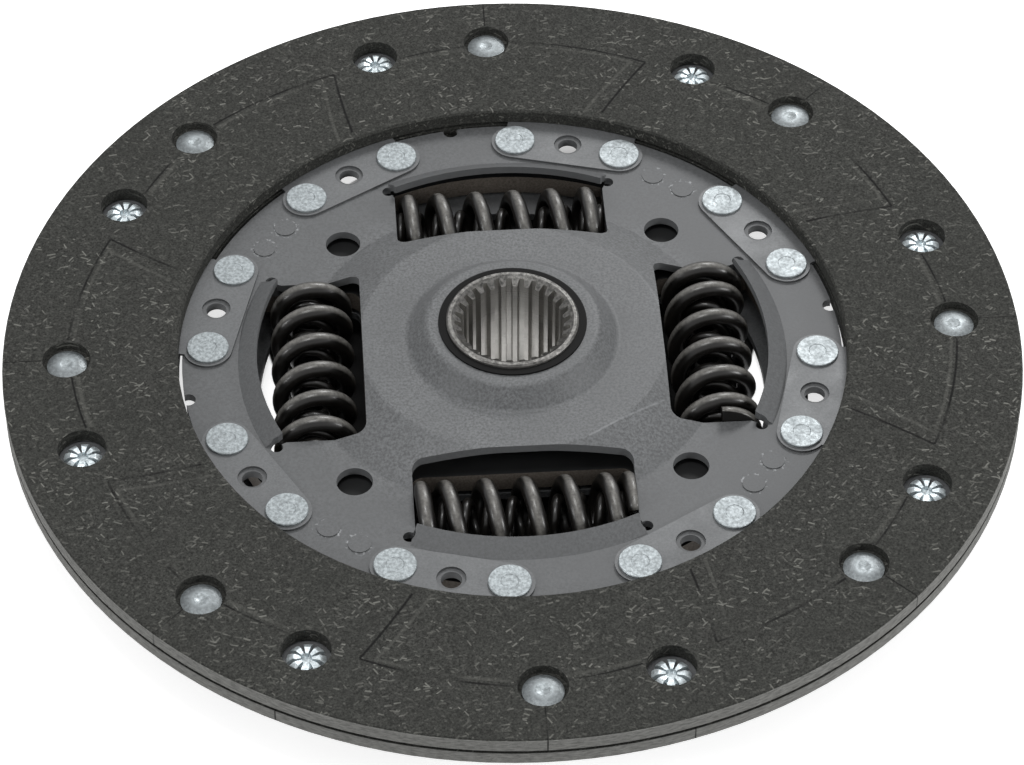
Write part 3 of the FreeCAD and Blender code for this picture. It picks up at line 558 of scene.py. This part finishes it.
def facing_compound(colours, sizes, name, reversed_angle=None):
    """Ground friction compound: dark grain, short pale fibres, a paler band round the rim that
    is a painted highlight, and hairlines whose dark strokes are painted shade in their grooves.
    A reversed angle makes the hairlines run the other way round."""
    finish = Finish(name, Specular_IOR_Level=0.15)
    tree, place, angle = finish.tree, finish.place, finish.angle
    if reversed_angle is not None:
        angle = tree.minus(reversed_angle, angle)

    grain = tree.noise(place, 2.2, detail=4.0, roughness=0.7)
    speck = tree.noise(place, 0.85, detail=3.0, roughness=0.6)
    cloud = tree.noise(place, 0.05, detail=3.0, roughness=0.6)
    base = tree.blend(tree.remap(grain, 0.35, 0.68), darker(colours.facing, 0.38),
                      lighter(colours.facing, 1.95))
    base = tree.blend(tree.remap(cloud, 0.3, 0.7, 0.0, 0.35), base,
                      darker(colours.facing, 0.75))
    base = tree.blend(tree.remap(speck, 0.60, 0.72, 0.0, 0.6), base,
                      darker(colours.fibre, 0.6))

    fibres = tree.largest(*[tree.group(strands, {
        "Vector": finish.flat, "Turn": turn, "Length": sizes.fibre_length_mm,
        "Width": FIBRE_ROW, "Share": share, "Thickness": thickness})[0]
        for turn, share, thickness in FIBRE_LAYERS])
    gathered = tree.remap(tree.noise(place, 0.16), 0.40, 0.62, 0.15, 0.9)
    base = tree.blend(tree.times(fibres, gathered), base, list(colours.fibre))

    # A paler streaky band round the rim, as a painted highlight
    ground = tree.maths("GREATER_THAN", finish.radius, FACING_RIM - RIM_HIGHLIGHT_BAND)
    stretched = tree.vector("MULTIPLY", finish.flat, (0.5, 2.0, 1.0))
    streaky = tree.remap(tree.noise(stretched, 1.0, detail=3.0), 0.35, 0.65, 0.45, 0.85)
    base = tree.blend(tree.times(ground, streaky), base, RIM_PAINTED_HIGHLIGHT)

    dark, pale = tree.group(imprint_and_groove_shade, {
        "Radius": finish.radius, "Angle": angle, "Vector": place})
    base = tree.blend(tree.times(pale, 0.16), base, list(colours.fibre))
    # The dark hairlines are painted shade in the grooves
    base = tree.blend(tree.times(dark, 0.95), base, IMPRINT_SHADE)
    roughness = tree.remap(grain, 0.3, 0.7, 0.92, 0.72)
    return finish.done(base, roughness, grain, depth_mm=0.12, strength=0.7)


def phosphated_steel(colours, name, wear_and_painted_light=False):
    """Grey phosphated sheet, duller outside the plateau. With wear and painted light it has
    steep faces painted lighter as painted light, staked tenons and a scratch."""
    finish = Finish(name, Metallic=0.25)
    tree = finish.tree
    fine, broad, height = finish.mottle(1.7, 0.07)
    base = tree.blend(tree.remap(fine, 0.36, 0.64), darker(colours.plate, 0.60),
                      lighter(colours.plate, 1.42))
    base = tree.blend(tree.remap(broad, 0.35, 0.7, 0.0, 0.4), base,
                      darker(colours.plate, 0.78))
    base = tree.blend(tree.remap(finish.radius, 44.0, 54.0, 0.0, 0.5), base,
                      darker(colours.plate, 0.72))
    if wear_and_painted_light:
        staked, scratch = tree.group(plate_wear, {
            "Vector": finish.place, "Radius": finish.radius, "Angle": finish.angle})
        pitted = tree.remap(tree.noise(finish.place, 1.2), 0.42, 0.58)
        wear_and_highlight = tree.times(staked, pitted)
        base = tree.blend(tree.times(staked, 0.5), base, darker(colours.plate, 0.5))
        base = tree.blend(tree.times(wear_and_highlight, 0.9), base, lighter(colours.plate, 3.2))
        # Painted light: steep faces, such as the windows' lips, drawn lighter
        slopes_painted_light = tree.remap(finish.level, 0.65, 0.4, 0.0, 0.6)
        base = tree.blend(slopes_painted_light, base, lighter(colours.plate, 1.7))
        base = tree.blend(tree.times(scratch, 0.5), base, lighter(colours.plate, 2.4))
        height = tree.plus(height, tree.times(wear_and_highlight, 3.0))
    roughness = tree.remap(fine, 0.3, 0.7, 0.50, 0.66)
    return finish.done(base, roughness, height, depth_mm=0.05, strength=0.35)


def shaded_flange(colours):
    """Plate with its flat faces painted nearly black as painted shade, and upright punched edges
    in a lit brown grey.
    """
    finish = Finish("flange_painted_shade", Specular_IOR_Level=0.15)
    tree = finish.tree
    fine, broad, height = finish.mottle(2.0, 0.2)
    edge_tone = tree.blend(tree.remap(fine, 0.3, 0.7), PUNCHED_EDGE_DARK, PUNCHED_EDGE_LIGHT)
    edge = tree.maths("LESS_THAN", finish.level, UPRIGHT)
    # Painted shade: flat faces nearly black, upright edges in a lit tone
    base = tree.blend(edge, darker(colours.plate, 0.12), edge_tone)
    roughness = tree.remap(broad, 0.3, 0.7, 0.45, 0.65)
    return finish.done(base, roughness, height, depth_mm=0.05, strength=0.4)


def zinc_plate(colours, name, shade=1.0, struck=False):
    """Dull zinc plating, lighter where the shade is above 1, as painted light. A struck head has
    a dark ragged dimple in its middle.
    """
    finish = Finish(name, Metallic=0.5)
    tree = finish.tree
    fine, broad, height = finish.mottle(1.3, 0.4)
    base = tree.blend(tree.remap(fine, 0.38, 0.66), darker(colours.zinc, 0.72 * shade),
                      lighter(colours.zinc, 1.35 * shade))
    if struck:
        aside = tree.times(tree.maths("PINGPONG", finish.angle, SEGMENT_PITCH / 2),
                           FACING_RIVET_CIRCLE * math.pi / 180)
        off_centre = tree.distance(aside, tree.minus(finish.radius, FACING_RIVET_CIRCLE))
        ragged = tree.plus(off_centre, tree.remap(fine, 0.3, 0.7, -0.6, 0.6))
        dimple = tree.blend(0.5, base, darker(colours.zinc, 0.3))
        base = tree.blend(tree.remap(ragged, 2.5, 1.9), dimple, base)
    roughness = tree.remap(broad, 0.3, 0.7, 0.36, 0.55)
    return finish.done(base, roughness, height, depth_mm=0.16, strength=0.6)


def turned_steel(colours):
    """Bare steel from the lathe, with painted shade darkening the faces that lie level."""
    finish = Finish("turned_steel", Metallic=0.9)
    tree = finish.tree
    marks = tree.group(turning_marks, {
        "Radius": finish.radius, "Level": tree.axes(finish.place)[2], "Pitch": 7.0})[0]
    fine, broad, _ = finish.mottle(1.2, 0.25)
    base = tree.blend(tree.remap(broad, 0.35, 0.7, 0.0, 0.5), list(colours.hub),
                      darker(colours.hub, 0.62))
    # Painted shade on the faces that lie level
    level_face_shade = tree.blend(tree.remap(fine, 0.35, 0.65), darker(colours.hub, 0.1),
                      darker(colours.hub, 0.36))
    base = tree.blend(tree.maths("GREATER_THAN", finish.level, 0.6), base, level_face_shade)
    roughness = tree.remap(marks, 0.3, 0.7, 0.26, 0.40)
    return finish.done(base, roughness, marks, depth_mm=0.02, strength=0.5)


def spring_steel(colours):
    """Oil-blackened wire, with a painted highlight along the crests of the outer springs."""
    finish = Finish("oiled_spring_wire", Specular_IOR_Level=0.4)
    tree = finish.tree
    fine, broad, height = finish.mottle(1.4, 0.2)
    base = tree.blend(tree.remap(broad, 0.4, 0.7, 0.0, 0.6), list(colours.spring),
                      lighter(colours.spring, 1.9))
    crest = tree.add("ShaderNodeAttribute", attribute_name=CREST).outputs["Fac"]
    # Painted highlight: a lighter line along the crest
    wear_and_highlight = tree.times(tree.remap(crest, 0.80, 1.0), tree.remap(fine, 0.35, 0.65, 0.5, 1.0))
    base = tree.blend(wear_and_highlight, base, list(colours.wear_and_highlight))
    roughness = tree.remap(fine, 0.3, 0.7, 0.27, 0.38)
    return finish.done(base, roughness, height, depth_mm=0.02, strength=0.2)


def leaf_steel(colours):
    """Grey spring sheet of the cushion segments and the damper's thin rings."""
    finish = Finish("leaf_steel", Metallic=0.35)
    tree = finish.tree
    fine, broad, height = finish.mottle(2.0, 0.1)
    base = tree.blend(tree.remap(fine, 0.3, 0.7), darker(colours.plate, 0.86),
                      lighter(colours.plate, 1.22))
    roughness = tree.remap(broad, 0.3, 0.7, 0.44, 0.58)
    return finish.done(base, roughness, height, depth_mm=0.03, strength=0.3)


def bush_plastic():
    """Black moulded plastic of the bushes round the hub, drawn darker than the plastic itself as
    painted shade round the hub.
    """
    finish = Finish("bush_plastic", Specular_IOR_Level=0.06)
    tree = finish.tree
    fine, _, height = finish.mottle(3.0, 0.3)
    base = tree.blend(tree.remap(fine, 0.3, 0.7), BUSH_DARK, BUSH_LIGHT)
    roughness = tree.remap(fine, 0.3, 0.7, 0.45, 0.6)
    return finish.done(base, roughness, height, depth_mm=0.03, strength=0.4)


def dress(material, names):
    """Gives the nodes of these names a material in place of the plain one."""
    for name in names:
        for place in NODES[name].material_slots:
            place.material = material


# Pieces

class ClutchOperator:
    """What every step has in common: it can be undone, and it reads the scene's settings."""
    bl_options = {"REGISTER", "UNDO"}

    @property
    def settings(self):
        return bpy.context.scene.clutch_disc


class CLUTCH_OT_facings(ClutchOperator, bpy.types.Operator):
    """Dress the two friction facings"""
    bl_idname = "clutch.facings"
    bl_label = "Friction facings"

    def execute(self, context):
        colours, sizes = self.settings.colours, self.settings.sizes
        dress(facing_compound(colours, sizes, "facing_compound_front"), ["front_facing"])
        dress(facing_compound(colours, sizes, "facing_compound_rear",
                              reversed_angle=REAR_IMPRINT_ANGLE), ["rear_facing"])
        return {"FINISHED"}


class CLUTCH_OT_segments(ClutchOperator, bpy.types.Operator):
    """Dress the cushion segments"""
    bl_idname = "clutch.segments"
    bl_label = "Cushion segments"

    def execute(self, context):
        names = [name for name in NODES if name.startswith("cushion_segment")]
        dress(leaf_steel(self.settings.colours), names)
        return {"FINISHED"}


class CLUTCH_OT_rivets(ClutchOperator, bpy.types.Operator):
    """Dress the rivets of the facings and the segments"""
    bl_idname = "clutch.rivets"
    bl_label = "Rivets"

    def execute(self, context):
        colours = self.settings.colours
        dress(zinc_plate(colours, "zinc_plate"), ["segment_rivets"])
        dress(zinc_plate(colours, "zinc_plate_struck", struck=True), ["front_facing_rivets"])
        # The rear rivets' zinc is drawn lighter, as painted light on their rolled tails in the
        # shade of their pockets
        dress(zinc_plate(colours, "zinc_plate_painted_light", shade=2.4), ["rear_facing_rivets"])
        return {"FINISHED"}


class CLUTCH_OT_plates(ClutchOperator, bpy.types.Operator):
    """Dress the drive plate, the counter plate and the hub flange"""
    bl_idname = "clutch.plates"
    bl_label = "Plates and flange"

    def execute(self, context):
        colours = self.settings.colours
        dress(phosphated_steel(colours, "phosphated_front", wear_and_painted_light=True), ["drive_plate"])
        dress(phosphated_steel(colours, "phosphated_rear"), ["counter_plate"])
        dress(shaded_flange(colours), ["hub_flange"])
        return {"FINISHED"}


class CLUTCH_OT_hub(ClutchOperator, bpy.types.Operator):
    """Dress the splined hub"""
    bl_idname = "clutch.hub"
    bl_label = "Hub"

    def execute(self, context):
        dress(turned_steel(self.settings.colours), ["hub"])
        return {"FINISHED"}


class CLUTCH_OT_small_rings(ClutchOperator, bpy.types.Operator):
    """Dress the bushes and the friction rings round the hub"""
    bl_idname = "clutch.small_rings"
    bl_label = "Bushes and rings"

    def execute(self, context):
        dress(bush_plastic(), ["front_bush", "rear_bush", "front_friction_ring"])
        dress(leaf_steel(self.settings.colours), ["pressure_ring", "disc_spring"])
        return {"FINISHED"}


def wire_heights(done, turns, end_pitch, wound):
    """The height of the wire's middle line at each part of a turn done: the end pitch over
    the first and last turn, eased into an even open pitch between them."""
    from_end = np.minimum(done, turns - done)
    free = np.clip((from_end - 1 + PITCH_EASE) / (2 * PITCH_EASE), 0, 1)
    free = free * free * (3 - 2 * free)
    open_turns = np.sum((free[1:] + free[:-1]) / 2 * np.diff(done))
    open_pitch = (wound - (turns - open_turns) * end_pitch) / open_turns
    pitch = end_pitch + (open_pitch - end_pitch) * free
    height = np.concatenate([[0], np.cumsum((pitch[1:] + pitch[:-1]) / 2 * np.diff(done))])
    return height + (wound - height[-1]) / 2 - wound / 2


def wound_wire(name, coil_radius, wire, turns, end_pitch, length, left_handed, wear_and_highlight):
    """Wire wound round the Z axis, closer at both ends, with its ends ground flat. The crest
    is 1 along its outermost line, where a painted highlight goes, and 0 all round a wire that
    gets no painted highlight."""
    steps = int(turns * WIRE_STEPS_PER_TURN)
    done = np.linspace(0, turns, steps + 1)
    height = wire_heights(done, turns, end_pitch, length - wire / 2)
    around = 2 * math.pi * done * (-1 if left_handed else 1)
    outward = np.stack([np.cos(around), np.sin(around), np.zeros_like(around)], 1)
    centre = outward * coil_radius
    centre[:, 2] = height
    tangent = np.gradient(centre, axis=0)
    tangent /= np.linalg.norm(tangent, axis=1, keepdims=True)
    upward = np.cross(tangent, outward)
    upward /= np.linalg.norm(upward, axis=1, keepdims=True)
    corner = np.linspace(0, 2 * math.pi, WIRE_SIDES, endpoint=False)
    rings = centre[:, None] + wire * (
        np.cos(corner)[None, :, None] * outward[:, None]
        + np.sin(corner)[None, :, None] * upward[:, None])
    rings[..., 2] = np.clip(rings[..., 2], -length / 2, length / 2)

    faces = []
    for ring in range(steps):
        first = ring * WIRE_SIDES
        for side in range(WIRE_SIDES):
            here, after = first + side, first + (side + 1) % WIRE_SIDES
            faces.append((here, after, after + WIRE_SIDES, here + WIRE_SIDES))
    faces.append(tuple(reversed(range(WIRE_SIDES))))
    faces.append(tuple(range(steps * WIRE_SIDES, (steps + 1) * WIRE_SIDES)))

    mesh = bpy.data.meshes.new(name)
    mesh.from_pydata([tuple(point) for point in rings.reshape(-1, 3)], [], faces)
    mesh.update()
    mesh.shade_smooth()
    crest = mesh.attributes.new(CREST, "FLOAT", "POINT")
    outermost = np.tile(np.cos(corner) * wear_and_highlight, steps + 1)
    crest.data.foreach_set("value", outermost.astype(np.float32))
    return mesh


class CLUTCH_OT_springs(ClutchOperator, bpy.types.Operator):
    """Wind the outer and inner damper springs"""
    bl_idname = "clutch.springs"
    bl_label = "Damper springs"

    def execute(self, context):
        sizes = self.settings.sizes
        material = spring_steel(self.settings.colours)
        # Only the outer springs get the painted highlight along their crests
        outer = {"wire": sizes.outer_wire, "turns": sizes.outer_turns,
                 "end_pitch": sizes.outer_end_pitch, "left_handed": False, "wear_and_highlight": True}
        inner = {"wire": sizes.inner_wire, "turns": sizes.inner_turns,
                 "end_pitch": sizes.inner_end_pitch, "left_handed": True, "wear_and_highlight": False}
        for kind, winding in (("damper_spring", outer), ("inner_spring", inner)):
            for number, roll in SPRING_ROLLS.items():
                self.wind(context, material, kind, number, roll, **winding)
        return {"FINISHED"}

    def wind(self, context, material, kind, number, roll, wire, **winding):
        """One spring in the place of its CAD node, whose axis runs round the disc."""
        node = f"{kind}_{number}"
        around = math.radians(SPRING_PITCH * (number - 1))
        low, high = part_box(node)
        middle = (low + high) / 2
        coil_radius = (high.z - low.z) / 2 - wire
        length = max(high.x - low.x, high.y - low.y)
        mesh = wound_wire(f"{node}_wire", coil_radius, wire, length=length, **winding)
        mesh.transform(Matrix.Translation(middle) @ Matrix.Rotation(around, 4, "Z")
                       @ Matrix.Rotation(math.radians(90), 4, "X")
                       @ Matrix.Rotation(math.radians(roll), 4, "Z"))
        mesh.materials.append(material)
        piece = bpy.data.objects.new(f"{node}_wound", mesh)
        context.scene.collection.objects.link(piece)
        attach(piece, "springs")
        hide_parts(node)
        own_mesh(piece)


# Stage

def sees_white(tree):
    """1 for the rays of the camera, of polished metal and of glass, which see a white
    backdrop, and 0 for those that only light the disc."""
    rays = tree.add("ShaderNodeLightPath").outputs
    return tree.largest(
        rays["Is Camera Ray"], rays["Is Glossy Ray"], rays["Is Transmission Ray"])


def outside_painted_shadow(tree):
    """1 where the floor is pale, and 0 in a painted shadow below the springs' windows. No window
    looks through at the painted shadow's corners or at its far end, so it ends softly there and
    reads as a shadow from the side."""
    place = tree.add("ShaderNodeTexCoord").outputs["Object"]

    def clear_of(x, y, radius, soft):
        away = tree.vector("DISTANCE", place, (x * MM, y * MM, 0))
        return tree.remap(away, radius * MM, (radius + soft) * MM)

    def beyond(value, start, end):
        return tree.remap(value, start * MM, end * MM)

    off_x, off_y, _ = tree.axes(tree.vector("ABSOLUTE", place))
    return tree.largest(
        tree.times(*[clear_of(*circle) for circle in PAINTED_SHADOW_BELOW_SPRINGS]),
        tree.minus(1.0, clear_of(*BELOW_BORE)),
        tree.times(beyond(off_x, *CORNER_X), beyond(off_y, *CORNER_Y)),
        beyond(off_y, *PAINTED_SHADOW_REACH_Y))


class CLUTCH_OT_stage(ClutchOperator, bpy.types.Operator):
    """Set up the floor, the lights and the camera"""
    bl_idname = "clutch.stage"
    bl_label = "Studio stage"

    def execute(self, context):
        settings = self.settings.stage
        scene = context.scene
        scene.view_settings.view_transform = "Standard"
        self.make_floor(scene)
        self.make_world(scene, settings)
        self.make_lamps(scene, settings)
        self.make_camera(scene, settings)
        return {"FINISHED"}

    def make_floor(self, scene):
        """A pale floor just below the disc, which keeps the disc's shadow and has a painted
        shadow below its middle.
        """
        mesh = bpy.data.meshes.new("studio_floor")
        reach, level = FLOOR_REACH * MM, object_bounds()[0][2] - FLOOR_GAP * MM
        corners = [(-reach, -reach), (reach, -reach), (reach, reach), (-reach, reach)]
        mesh.from_pydata([(x, y, level) for x, y in corners], [], [(0, 1, 2, 3)])
        mesh.materials.append(self.floor_material())
        floor = bpy.data.objects.new("studio_floor", mesh)
        scene.collection.objects.link(floor)
        floor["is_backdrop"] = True

    def floor_material(self):
        """White to the camera and to polished metal, under the cast shadow, and dark in the
        painted shadow.
        """
        material = bpy.data.materials.new("studio_floor")
        material.use_nodes = True
        tree = Tree(material.node_tree)
        shader = material.node_tree.nodes["Principled BSDF"].inputs
        shader["Roughness"].default_value = 0.9
        shader["Specular IOR Level"].default_value = 0.1
        shader["Emission Strength"].default_value = FLOOR_GLOW
        pale = outside_painted_shadow(tree)
        # Painted shadow: the base colour and the glow go dark below the disc's middle
        tree.feed(shader["Base Color"], tree.blend(pale, FLOOR_PAINTED_SHADOW, FLOOR_PALE))
        tree.feed(shader["Emission Color"], tree.times(pale, sees_white(tree)))
        return material

    def make_world(self, scene, settings):
        """An even sky that lights the disc, and that the camera sees as white."""
        world = bpy.data.worlds.new("studio")
        scene.world = world
        world.use_nodes = True
        tree = Tree(world.node_tree)
        background = world.node_tree.nodes["Background"].inputs
        background["Color"].default_value = WHITE
        tree.feed(background["Strength"], tree.remap(
            sees_white(tree), 0.0, 1.0, settings.sky_strength, 1.0))

    def make_lamps(self, scene, settings):
        """Round lamps that look at the middle of the disc."""
        for name, place, width, share in LAMPS:
            lamp = bpy.data.lights.new(name, "AREA")
            lamp.shape = "DISK"
            lamp.size = width
            lamp.energy = settings.key_strength * share
            holder = bpy.data.objects.new(name, lamp)
            holder.location = place
            holder.rotation_euler = (-Vector(place)).to_track_quat("-Z", "Y").to_euler()
            scene.collection.objects.link(holder)

    def make_camera(self, scene, settings):
        """A camera at the set angle and distance from the aim point."""
        camera = bpy.data.cameras.new("camera")
        camera.lens = settings.lens_mm
        camera.sensor_width = SENSOR_WIDTH_MM
        camera.clip_start = CAMERA_NEAR
        holder = bpy.data.objects.new("camera", camera)
        flat = math.cos(settings.elevation)
        away = Vector((math.sin(settings.azimuth) * flat, -math.cos(settings.azimuth) * flat,
                       math.sin(settings.elevation)))
        holder.location = Vector(settings.aim) + away * settings.distance
        holder.rotation_euler = (-away).to_track_quat("-Z", "Y").to_euler()
        scene.collection.objects.link(holder)
        scene.camera = holder


class CLUTCH_PT_panel(bpy.types.Panel):
    """The clutch disc's steps, sizes and colours"""
    bl_idname = "CLUTCH_PT_panel"
    bl_label = "Clutch Disc"
    bl_space_type = "VIEW_3D"
    bl_region_type = "UI"
    bl_category = "Clutch Disc"

    def draw(self, context):
        settings = context.scene.clutch_disc
        for operator in OPERATORS:
            self.layout.operator(operator.bl_idname)
        for group in (settings.sizes, settings.colours, settings.stage):
            box = self.layout.box()
            for name in group.bl_rna.properties.keys():
                if name not in ("rna_type", "name"):
                    box.prop(group, name)


OPERATORS = [CLUTCH_OT_facings, CLUTCH_OT_segments, CLUTCH_OT_rivets, CLUTCH_OT_plates,
             CLUTCH_OT_hub, CLUTCH_OT_small_rings, CLUTCH_OT_springs, CLUTCH_OT_stage]
CLASSES = [ClutchDiscSizes, ClutchDiscColours, ClutchDiscStage, ClutchDiscSettings,
           *OPERATORS, CLUTCH_PT_panel]


def register():
    for cls in CLASSES:
        bpy.utils.register_class(cls)
    bpy.types.Scene.clutch_disc = bpy.props.PointerProperty(type=ClutchDiscSettings)


def unregister():
    del bpy.types.Scene.clutch_disc
    for cls in reversed(CLASSES):
        bpy.utils.unregister_class(cls)


def main():
    register()
    for operator in OPERATORS:
        group, step = operator.bl_idname.split(".")
        getattr(getattr(bpy.ops, group), step)()


if __name__ == "__main__":
    main()
